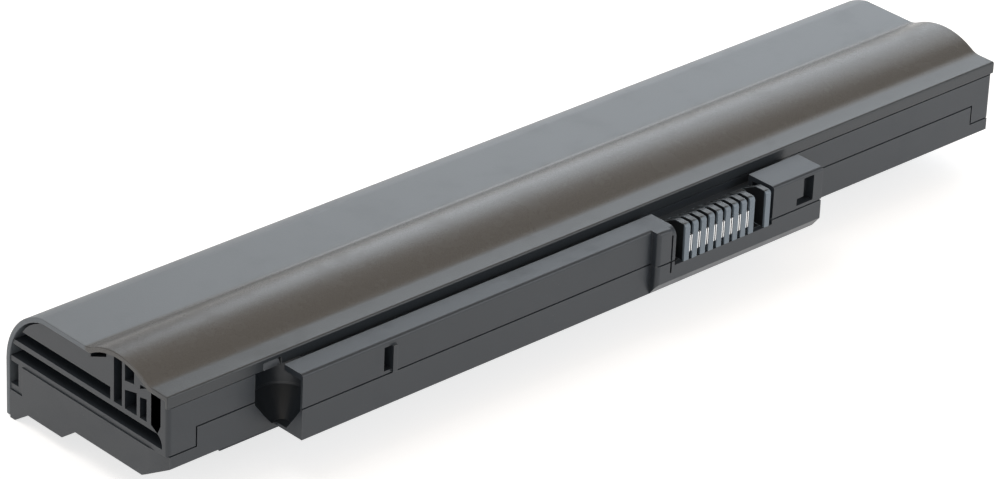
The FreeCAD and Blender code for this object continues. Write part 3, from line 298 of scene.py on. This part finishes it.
def draw_drawn_lines(graph: Graph, ports: dict) -> dict:
    """Long fine lines left by rolling or drawing metal, along X."""
    stretched = 0.03
    stretch = graph.add("ShaderNodeMapping")
    graph.feed(ports["Place"], stretch.inputs["Vector"])
    stretch.inputs["Scale"].default_value = (stretched, 1.0, 1.0)
    lines = noise(graph, stretch.outputs["Vector"], ports["Scale"], 4.0, 0.7)
    return {"Height": lines, "Tone": graph.ramp(lines, 0.3, 0.7, 0.0, 1.0)}


VECTOR = "NodeSocketVector"
FLOAT = "NodeSocketFloat"
PAINT = "NodeSocketColor"


def spark_grain() -> bpy.types.NodeTree:
    """The group for moulded grain."""
    return shader_group(
        "spark_grain",
        [Port("Place", VECTOR), Port("Scale", FLOAT, 3000.0)],
        [Port("Height", FLOAT), Port("Speckle", FLOAT)],
        draw_spark_grain,
    )


def tone_drift() -> bpy.types.NodeTree:
    """The group for slow changes of tone."""
    return shader_group(
        "tone_drift",
        [
            Port("Place", VECTOR),
            Port("Colour", PAINT),
            Port("Scale", FLOAT, 14.0),
            Port("Amount", FLOAT, 0.2),
        ],
        [Port("Colour", PAINT), Port("Marks", FLOAT)],
        draw_tone_drift,
    )


def edge_rub() -> bpy.types.NodeTree:
    """The group for paler corners: partly wear, partly painted edge highlight."""
    return shader_group(
        "edge_rub",
        [
            Port("Place", VECTOR),
            Port("Colour", PAINT),
            Port("Rubbed", PAINT),
            Port("Width", FLOAT, 0.4 * MM),
            Port("Amount", FLOAT, 0.5),
        ],
        [Port("Colour", PAINT)],
        draw_rub_and_edge_highlight,
    )


def fine_dust() -> bpy.types.NodeTree:
    """The group for dust."""
    return shader_group(
        "fine_dust",
        [Port("Place", VECTOR), Port("Amount", FLOAT, 0.3)],
        [Port("Share", FLOAT)],
        draw_fine_dust,
    )


def depth_band() -> bpy.types.NodeTree:
    """The group that splits a moulding's colour across its depth, for bands that are partly a finish and
    partly painted light and shade.
    """
    return shader_group(
        "depth_band",
        [Port("Place", VECTOR), Port("Line", FLOAT, 4.0 * MM), Port("Blend", FLOAT, 0.6 * MM)],
        [Port("Share", FLOAT)],
        draw_depth_band,
    )


def drawn_lines() -> bpy.types.NodeTree:
    """The group for rolled or drawn metal."""
    return shader_group(
        "drawn_lines",
        [Port("Place", VECTOR), Port("Scale", FLOAT, 4000.0)],
        [Port("Height", FLOAT), Port("Tone", FLOAT)],
        draw_drawn_lines,
    )


class Coat:
    """A new material with its shader, its graph and its object coordinates."""

    def __init__(self, name: str) -> None:
        """Start the material from an empty tree."""
        self.material = bpy.data.materials.new(name)
        self.material.use_nodes = True
        tree = self.material.node_tree
        tree.nodes.clear()
        self.graph = Graph(tree)
        self.shader = self.graph.add("ShaderNodeBsdfPrincipled")
        output = self.graph.add("ShaderNodeOutputMaterial")
        self.graph.feed(self.shader.outputs["BSDF"], output.inputs["Surface"])
        self.place = self.graph.add("ShaderNodeTexCoord").outputs["Object"]

    def group(self, tree: bpy.types.NodeTree, **values: object) -> bpy.types.Node:
        """Place a shader group with its own values.

        Args:
            tree: the group.
            values: input names and what feeds them.

        Returns:
            The group's node.
        """
        node = self.graph.add("ShaderNodeGroup", node_tree=tree)
        if "Place" in node.inputs:
            self.graph.feed(self.place, node.inputs["Place"])
        for name, value in values.items():
            self.graph.feed(value, node.inputs[name])
        return node

    def plain(self, **values: float) -> None:
        """Set numbers that are the same all over on the shader's own sockets."""
        for name, value in values.items():
            self.shader.inputs[name.replace("_", " ")].default_value = value

    def relief(self, height: object, strength: float, distance: float) -> None:
        """Raise the surface by a height that feeds the shader's normal."""
        bump = self.graph.add("ShaderNodeBump")
        bump.inputs["Strength"].default_value = strength
        bump.inputs["Distance"].default_value = distance
        self.graph.feed(height, bump.inputs["Height"])
        self.graph.feed(bump.outputs["Normal"], self.shader.inputs["Normal"])


def paint(colour: Colour) -> tuple[float, float, float, float]:
    """A colour with full cover."""
    return (*colour, 1.0)


@dataclass(frozen=True)
class FinishAndLightBand:
    """A stretch of a moulding with a colour of its own, from a line across its depth: partly a finish of its
    own and partly painted light and shade.

    It lies behind the line where the blend is positive and in front of it where negative.
    """

    line: float
    blend: float
    colour: Colour
    dulling: float = 0.0


@dataclass(frozen=True)
class MouldedPlastic:
    """A moulded plastic: colour, gloss, grain, paler corners that are partly wear and partly painted edge
    highlight, and colour bands that are partly finish and partly painted light and shade.
    """

    name: str
    colour: Colour
    rub_and_highlight_colour: Colour
    roughness: float
    roughness_spread: float
    grain: float
    grain_strength: float
    drift: float = 0.22
    rub_and_highlight: float = 0.5
    rub_and_highlight_width: float = 0.35 * MM
    dust: float = 0.2
    dust_colour: Colour = (0.42, 0.42, 0.41)
    specular: float = 0.5
    relief_depth: float = 0.05 * MM
    finish_and_light_bands: tuple[FinishAndLightBand, ...] = ()

    def material(self) -> bpy.types.Material:
        """Build the material and return it."""
        coat = Coat(self.name)
        graph = coat.graph
        base = paint(self.colour)
        gloss = self.roughness
        # Each band paints a colour past its line: partly a finish of its own, partly painted reflection and
        # shade.
        for band in self.finish_and_light_bands:
            split = coat.group(depth_band(), Line=band.line, Blend=band.blend).outputs["Share"]
            base = graph.mix(split, base, paint(band.colour))
            gloss = graph.math("ADD", graph.math("MULTIPLY", split, band.dulling), gloss)
        tone = coat.group(tone_drift(), Colour=base, Amount=self.drift)
        grain = coat.group(spark_grain(), Scale=self.grain)
        # Corners are paled from a rounded normal: partly wear, partly a painted edge highlight.
        rub_and_highlight = coat.group(
            edge_rub(),
            Colour=tone.outputs["Colour"],
            Rubbed=paint(self.rub_and_highlight_colour),
            Width=self.rub_and_highlight_width,
            Amount=self.rub_and_highlight,
        )
        dust = coat.group(fine_dust(), Amount=self.dust)
        dusty = graph.mix(dust.outputs["Share"], rub_and_highlight.outputs["Colour"], paint(self.dust_colour))
        graph.feed(dusty, coat.shader.inputs["Base Color"])
        rough = graph.math("MULTIPLY", tone.outputs["Marks"], self.roughness_spread)
        speckled = graph.math("MULTIPLY", grain.outputs["Speckle"], self.roughness_spread)
        total = graph.math("ADD", graph.math("ADD", rough, speckled), gloss, clamp=True)
        graph.feed(total, coat.shader.inputs["Roughness"])
        coat.plain(Specular_IOR_Level=self.specular)
        coat.relief(grain.outputs["Height"], self.grain_strength, self.relief_depth)
        return coat.material


@dataclass(frozen=True)
class SheetMetal:
    """Rolled or plated metal with drawn lines."""

    name: str
    colour: Colour
    darker: Colour
    roughness: float
    lines: float = 5000.0
    relief: float = 0.25
    relief_depth: float = 0.02 * MM
    drift: float = 0.15
    line_tone: float = 0.35
    line_gloss: float = 0.12

    def material(self) -> bpy.types.Material:
        """Build the material and return it."""
        coat = Coat(self.name)
        graph = coat.graph
        lines = coat.group(drawn_lines(), Scale=self.lines)
        tone = coat.group(tone_drift(), Colour=paint(self.colour), Amount=self.drift)
        blend = graph.math("MULTIPLY", lines.outputs["Tone"], self.line_tone)
        lined = graph.mix(blend, tone.outputs["Colour"], paint(self.darker))
        graph.feed(lined, coat.shader.inputs["Base Color"])
        streak = graph.math("MULTIPLY", lines.outputs["Tone"], self.line_gloss)
        graph.feed(graph.math("ADD", streak, self.roughness), coat.shader.inputs["Roughness"])
        coat.plain(Metallic=1.0)
        coat.relief(lines.outputs["Height"], self.relief, self.relief_depth)
        return coat.material


@dataclass(frozen=True)
class SmoothSkin:
    """A thin film, sleeve, lacquer or foam: gentle relief and uneven gloss."""

    name: str
    colour: Colour
    roughness: float
    relief_scale: float
    relief: float
    drift: float = 0.12
    coat_weight: float = 0.0
    relief_depth: float = 0.08 * MM
    dust: float = 0.15
    dust_colour: Colour = (0.5, 0.5, 0.48)
    uneven_gloss: float = 0.1

    def material(self) -> bpy.types.Material:
        """Build the material and return it."""
        coat = Coat(self.name)
        graph = coat.graph
        tone = coat.group(tone_drift(), Colour=paint(self.colour), Amount=self.drift)
        dust = coat.group(fine_dust(), Amount=self.dust)
        dusty = graph.mix(dust.outputs["Share"], tone.outputs["Colour"], paint(self.dust_colour))
        graph.feed(dusty, coat.shader.inputs["Base Color"])
        uneven = graph.math("MULTIPLY", tone.outputs["Marks"], self.uneven_gloss)
        graph.feed(graph.math("ADD", uneven, self.roughness), coat.shader.inputs["Roughness"])
        coat.plain(Coat_Weight=self.coat_weight)
        ripple = noise(graph, coat.place, self.relief_scale, 3.0, 0.6)
        coat.relief(ripple, self.relief, self.relief_depth)
        return coat.material


COVER = MouldedPlastic(
    name="cover_grained",
    colour=(0.088, 0.086, 0.082),
    rub_and_highlight_colour=(0.24, 0.25, 0.26),
    roughness=0.26,
    roughness_spread=0.05,
    grain=3600.0,
    grain_strength=0.3,
    drift=0.12,
    # The panel band behind the hump is lighter: partly a matte finish of its own, partly painted reflection
    # of the bright surround. The lip and flange bands darken the front edge: painted shade.
    finish_and_light_bands=(
        FinishAndLightBand(line=4.8 * MM, blend=0.8 * MM, colour=(0.185, 0.210, 0.236), dulling=0.18),
        FinishAndLightBand(line=-15.6 * MM, blend=-1.6 * MM, colour=(0.056, 0.061, 0.064), dulling=0.04),
        FinishAndLightBand(line=-21.2 * MM, blend=-0.3 * MM, colour=(0.036, 0.043, 0.050)),
    ),
)
CASE = MouldedPlastic(
    name="case_semi_gloss",
    colour=(0.034, 0.042, 0.052),
    rub_and_highlight_colour=(0.16, 0.17, 0.18),
    roughness=0.34,
    roughness_spread=0.05,
    grain=5200.0,
    grain_strength=0.18,
    drift=0.2,
    rub_and_highlight=0.45,
)
# The near-black colour is painted shade on the blade tops under the lip, and the pale blue corners are
# painted edge highlight.
CONNECTOR = MouldedPlastic(
    name="connector_ribs",
    colour=(0.016, 0.018, 0.021),
    rub_and_highlight_colour=(0.36, 0.44, 0.50),
    roughness=0.32,
    roughness_spread=0.06,
    grain=5200.0,
    grain_strength=0.15,
    rub_and_highlight=0.8,
    rub_and_highlight_width=0.3 * MM,
    # Blade fronts past this line are painted light blue-grey: painted reflection.
    finish_and_light_bands=(FinishAndLightBand(line=-31.2 * MM, blend=-0.3 * MM, colour=(0.20, 0.25, 0.30)),),
)
CHIP = MouldedPlastic(
    name="chip_resin",
    colour=(0.018, 0.018, 0.019),
    rub_and_highlight_colour=(0.06, 0.06, 0.06),
    roughness=0.55,
    roughness_spread=0.08,
    grain=6000.0,
    grain_strength=0.4,
)
RING = MouldedPlastic(
    name="ring_fibre",
    colour=(0.70, 0.67, 0.58),
    rub_and_highlight_colour=(0.80, 0.78, 0.70),
    roughness=0.85,
    roughness_spread=0.05,
    grain=2500.0,
    grain_strength=0.6,
)
CAPACITOR = MouldedPlastic(
    name="capacitor_ceramic",
    colour=(0.36, 0.24, 0.13),
    rub_and_highlight_colour=(0.46, 0.34, 0.22),
    roughness=0.5,
    roughness_spread=0.08,
    grain=4000.0,
    grain_strength=0.2,
)
CONTACT = SheetMetal(
    name="contact_plated", colour=(0.93, 0.94, 0.95), darker=(0.74, 0.75, 0.76), roughness=0.24
)
NICKEL = SheetMetal(name="nickel_strip", colour=(0.62, 0.60, 0.55), darker=(0.42, 0.40, 0.36), roughness=0.3)
TINNED = SheetMetal(
    name="solder_tinned", colour=(0.66, 0.66, 0.65), darker=(0.45, 0.45, 0.44), roughness=0.28
)
CAN = SheetMetal(name="cell_can_steel", colour=(0.58, 0.58, 0.57), darker=(0.40, 0.40, 0.39), roughness=0.26)
SLEEVE = SmoothSkin(
    name="cell_sleeve_film", colour=(0.035, 0.20, 0.13), roughness=0.28, relief_scale=260.0, relief=0.3
)
LEAD_RED = SmoothSkin(
    name="lead_red", colour=(0.46, 0.025, 0.02), roughness=0.45, relief_scale=900.0, relief=0.2
)
LEAD_BLACK = SmoothSkin(
    name="lead_black", colour=(0.02, 0.02, 0.021), roughness=0.45, relief_scale=900.0, relief=0.2
)
SOLDER_MASK = SmoothSkin(
    name="board_solder_mask",
    colour=(0.012, 0.13, 0.055),
    roughness=0.32,
    relief_scale=700.0,
    relief=0.2,
    coat_weight=0.2,
)
FOAM = SmoothSkin(
    name="foam_closed_cell", colour=(0.03, 0.03, 0.032), roughness=0.9, relief_scale=1800.0, relief=1.0
)
BEAD = SmoothSkin(
    name="bead_resin", colour=(0.02, 0.021, 0.026), roughness=0.2, relief_scale=400.0, relief=0.3
)
LABEL = SmoothSkin(
    name="label_film", colour=(0.46, 0.47, 0.48), roughness=0.42, relief_scale=500.0, relief=0.12
)


def merged(node: str) -> bmesh.types.BMesh:
    """A copy of a CAD node's mesh with its loose triangles joined into flat faces.

    Args:
        node: the CAD node.

    Returns:
        The joined mesh.
    """
    mesh = bmesh.new()
    mesh.from_mesh(bpy.data.objects[node].data)
    bmesh.ops.remove_doubles(mesh, verts=mesh.verts, dist=WELD)
    bmesh.ops.dissolve_limit(
        mesh,
        angle_limit=math.radians(FLAT_ANGLE),
        use_dissolve_boundaries=False,
        verts=mesh.verts,
        edges=mesh.edges,
    )
    return mesh


def piece_from(
    mesh: bmesh.types.BMesh, name: str, material: bpy.types.Material
) -> bpy.types.Object:
    """Make a piece of the battery from a mesh.

    Args:
        mesh: the mesh, in the part's frame, freed here.
        name: the piece's name.
        material: its finish.

    Returns:
        The new object, riding on the body.
    """
    data = bpy.data.meshes.new(name)
    mesh.to_mesh(data)
    mesh.free()
    data.polygons.foreach_set("use_smooth", [True] * len(data.polygons))
    data.materials.append(material)
    piece = bpy.data.objects.new(name, data)
    bpy.context.scene.collection.objects.link(piece)
    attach(piece, BODY)
    LOG.info("%s: %d faces", name, len(data.polygons))
    return piece


def soften(piece: bpy.types.Object, width: float) -> None:
    """Round a piece's sharp edges and keep its flat faces flat in the light.

    Args:
        piece: the piece.
        width: the rounding's width in metres.
    """
    rounding = piece.modifiers.new("edges", "BEVEL")
    rounding.width = width
    rounding.segments = ROUNDING_FACES
    rounding.limit_method = "ANGLE"
    rounding.angle_limit = math.radians(SHARP_ANGLE)
    rounding.use_clamp_overlap = True
    rounding.miter_outer = "MITER_ARC"
    shading = piece.modifiers.new("flat_faces", "WEIGHTED_NORMAL")
    shading.mode = "FACE_AREA"
    shading.weight = FLAT_WEIGHT
    shading.keep_sharp = True


def dress(node: str, material: bpy.types.Material) -> None:
    """Give a carried-over CAD node its finish."""
    data = bpy.data.objects[node].data
    data.materials.clear()
    data.materials.append(material)
    LOG.info("%s: dressed", node)


@dataclass
class Casing:
    """The cover and the two case halves, with softened edges."""

    cover_edge: float = 0.22 * MM
    case_edge: float = 0.16 * MM

    def build(self) -> None:
        """Make and dress the three mouldings."""
        cover = COVER.material()
        case = CASE.material()
        plan = (
            ("top_cover", cover, "cover", self.cover_edge),
            ("upper_case", case, "case", self.case_edge),
            ("lower_case", case, "case", self.case_edge),
        )
        for node, material, slot, edge in plan:
            piece = piece_from(merged(node), "%s_moulding" % node, material)
            soften(piece, edge)
            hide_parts(node)


@dataclass
class ContactConnector:
    """The ribbed connector body and its plated spring contacts."""

    rib_edge: float = 0.14 * MM
    leaf_edge: float = 0.05 * MM
    contacts: int = 8

    def build(self) -> None:
        """Make and dress the connector."""
        ribbed = CONNECTOR.material()
        body = piece_from(merged("connector_body"), "connector_ribbed_body", ribbed)
        soften(body, self.rib_edge)
        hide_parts("connector_body")
        plated = CONTACT.material()
        for number in range(1, self.contacts + 1):
            node = "contact_%d" % number
            leaf = piece_from(merged(node), "spring_%s" % node, plated)
            soften(leaf, self.leaf_edge)
            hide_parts(node)


@dataclass
class CellStack:
    """The six cells, each with a film sleeve and bare steel ends."""

    count: int = 6
    end_facing: float = 0.9

    def build(self) -> None:
        """Make and dress the cells."""
        sleeve = SLEEVE.material()
        steel = CAN.material()
        for number in range(1, self.count + 1):
            node = "cell_%d" % number
            mesh = merged(node)
            for face in mesh.faces:
                bare = abs(face.normal.x) > self.end_facing
                face.material_index = (CellFace.BARE_END if bare else CellFace.SLEEVE).value
            piece = piece_from(mesh, "wrapped_%s" % node, sleeve)
            piece.data.materials.append(steel)
            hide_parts(node)


@dataclass
class Studio:
    """White floor, soft lamps and a bright low surround."""

    floor_size: float = 12.0
    floor_drop: float = 0.05 * MM
    floor_colour: Colour = (0.62, 0.62, 0.62)
    floor_glow: float = 0.72
    horizon: Colour = (1.0, 1.0, 1.0)
    middle: Colour = (0.40, 0.42, 0.44)
    zenith: Colour = (0.72, 0.60, 0.48)
    surround: float = 0.75
    horizon_top: float = 0.32
    overhead_from: float = 0.5
    overhead_to: float = 0.72

    def floor(self) -> None:
        """Lay the floor just under the part."""
        mesh = bmesh.new()
        bmesh.ops.create_grid(mesh, x_segments=1, y_segments=1, size=self.floor_size / 2)
        bmesh.ops.translate(mesh, verts=mesh.verts, vec=(0.0, 0.0, -self.floor_drop))
        data = bpy.data.meshes.new("studio_floor")
        mesh.to_mesh(data)
        mesh.free()
        floor = bpy.data.objects.new("studio_floor", data)
        bpy.context.scene.collection.objects.link(floor)
        coat = Coat("floor_paper")
        coat.plain(Roughness=0.9, Specular_IOR_Level=0.1)
        coat.shader.inputs["Base Color"].default_value = paint(self.floor_colour)
        path = coat.graph.add("ShaderNodeLightPath")
        coat.shader.inputs["Emission Color"].default_value = WHITE
        seen = coat.graph.math("MAXIMUM", path.outputs["Is Camera Ray"], path.outputs["Is Glossy Ray"])
        glow = coat.graph.math("MULTIPLY", seen, self.floor_glow)
        coat.graph.feed(glow, coat.shader.inputs["Emission Strength"])
        data.materials.append(coat.material)

    def world(self) -> None:
        """Surround that is white at the horizon, greyer above it and warm overhead."""
        world = bpy.data.worlds.new("studio_surround")
        world.use_nodes = True
        world.node_tree.nodes.clear()
        graph = Graph(world.node_tree)
        direction = graph.add("ShaderNodeTexCoord").outputs["Generated"]
        split = graph.add("ShaderNodeSeparateXYZ")
        graph.feed(direction, split.inputs["Vector"])
        rise = graph.ramp(split.outputs["Z"], 0.0, self.horizon_top, 0.0, 1.0)
        low_sky = graph.mix(rise, paint(self.horizon), paint(self.middle))
        overhead = graph.ramp(split.outputs["Z"], self.overhead_from, self.overhead_to, 0.0, 1.0)
        sky = graph.mix(overhead, low_sky, paint(self.zenith))
        path = graph.add("ShaderNodeLightPath")
        white = graph.mix(path.outputs["Is Camera Ray"], sky, WHITE)
        glow = graph.add("ShaderNodeBackground")
        graph.feed(white, glow.inputs["Color"])
        seen = graph.ramp(path.outputs["Is Camera Ray"], 0.0, 1.0, self.surround, 1.0)
        graph.feed(seen, glow.inputs["Strength"])
        output = graph.add("ShaderNodeOutputWorld")
        graph.feed(glow.outputs["Background"], output.inputs["Surface"])
        bpy.context.scene.world = world

    def lamp(
        self, name: str, place: Vector, size: tuple[float, float], power: float, colour: Colour
    ) -> None:
        """Hang an area lamp that points at the part's middle.

        Args:
            name: the lamp's name.
            place: where it hangs.
            size: its two sides.
            power: in watts.
            colour: its light's colour.
        """
        light = bpy.data.lights.new(name, "AREA")
        light.shape = "RECTANGLE"
        light.size, light.size_y = size
        light.energy = power
        light.color = colour
        lamp = bpy.data.objects.new(name, light)
        lamp.rotation_euler = (-place).to_track_quat("-Z", "Y").to_euler()
        lamp.location = place
        bpy.context.scene.collection.objects.link(lamp)

    def build(self) -> None:
        """Set up the studio."""
        self.floor()
        self.world()
        self.lamp("panel_soft", Vector((0.43, 0.33, 0.26)), (0.5, 0.35), 1.1, (0.86, 0.93, 1.0))
        self.lamp("key_soft", Vector((-0.45, 0.3, 1.45)), (1.0, 0.6), 6.0, (1.0, 1.0, 1.0))
        self.lamp("fill_front", Vector((0.9, -1.4, 0.7)), (1.2, 0.8), 8.0, (0.97, 0.98, 1.0))


@dataclass
class PhotoCamera:
    """The camera at the photograph's place."""

    azimuth: float = -43.80
    elevation: float = 28.28
    roll: float = 2.50
    distance: float = 1.0849
    aim: Vector = Vector((-9.12 * MM, 3.21 * MM, 15.6 * MM))
    lens: float = 176.9
    sensor: float = 36.0

    def build(self) -> None:
        """Make the camera and choose it for the scene."""
        turn = math.radians(self.azimuth)
        tilt = math.radians(self.elevation)
        back = Vector((math.sin(turn) * math.cos(tilt), -math.cos(turn) * math.cos(tilt), math.sin(tilt)))
        level = Vector((math.cos(turn), math.sin(turn), 0.0))
        right = Matrix.Rotation(math.radians(self.roll), 3, back) @ level
        up = back.cross(right)
        data = bpy.data.cameras.new("photo_camera")
        data.lens = self.lens
        data.sensor_width = self.sensor
        data.clip_end = 50.0
        camera = bpy.data.objects.new("photo_camera", data)
        basis = Matrix((right, up, back)).transposed().to_4x4()
        camera.matrix_world = Matrix.Translation(self.aim + back * self.distance) @ basis
        bpy.context.scene.collection.objects.link(camera)
        bpy.context.scene.camera = camera


def dress_inside() -> None:
    """Give the sealed pieces their finishes."""
    finishes = (
        ("insulator_ring_", RING),
        ("nickel_strap_", NICKEL),
        ("negative_lead", LEAD_BLACK),
        ("positive_lead", LEAD_RED),
        ("circuit_board", SOLDER_MASK),
        ("protection_chip", CHIP),
        ("gauge_chip", CHIP),
        ("mosfet_", CHIP),
        ("fuse", TINNED),
        ("shunt_resistor", TINNED),
        ("capacitor", CAPACITOR),
        ("thermistor", BEAD),
        ("foam_pad_", FOAM),
        ("underside_label", LABEL),
    )
    nodes = sorted(o.name for o in bpy.data.objects if "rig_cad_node" in o)
    for start, finish in finishes:
        material = finish.material()
        for node in nodes:
            if node.startswith(start):
                dress(node, material)


def main() -> None:
    """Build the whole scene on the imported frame."""
    logging.basicConfig(level=logging.INFO, format="%(name)s: %(message)s")
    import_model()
    PhotoCamera().build()
    Studio().build()
    Casing().build()
    ContactConnector().build()
    CellStack().build()
    dress_inside()
    bpy.context.scene.view_settings.view_transform = "Standard"


if __name__ == "__main__":
    main()
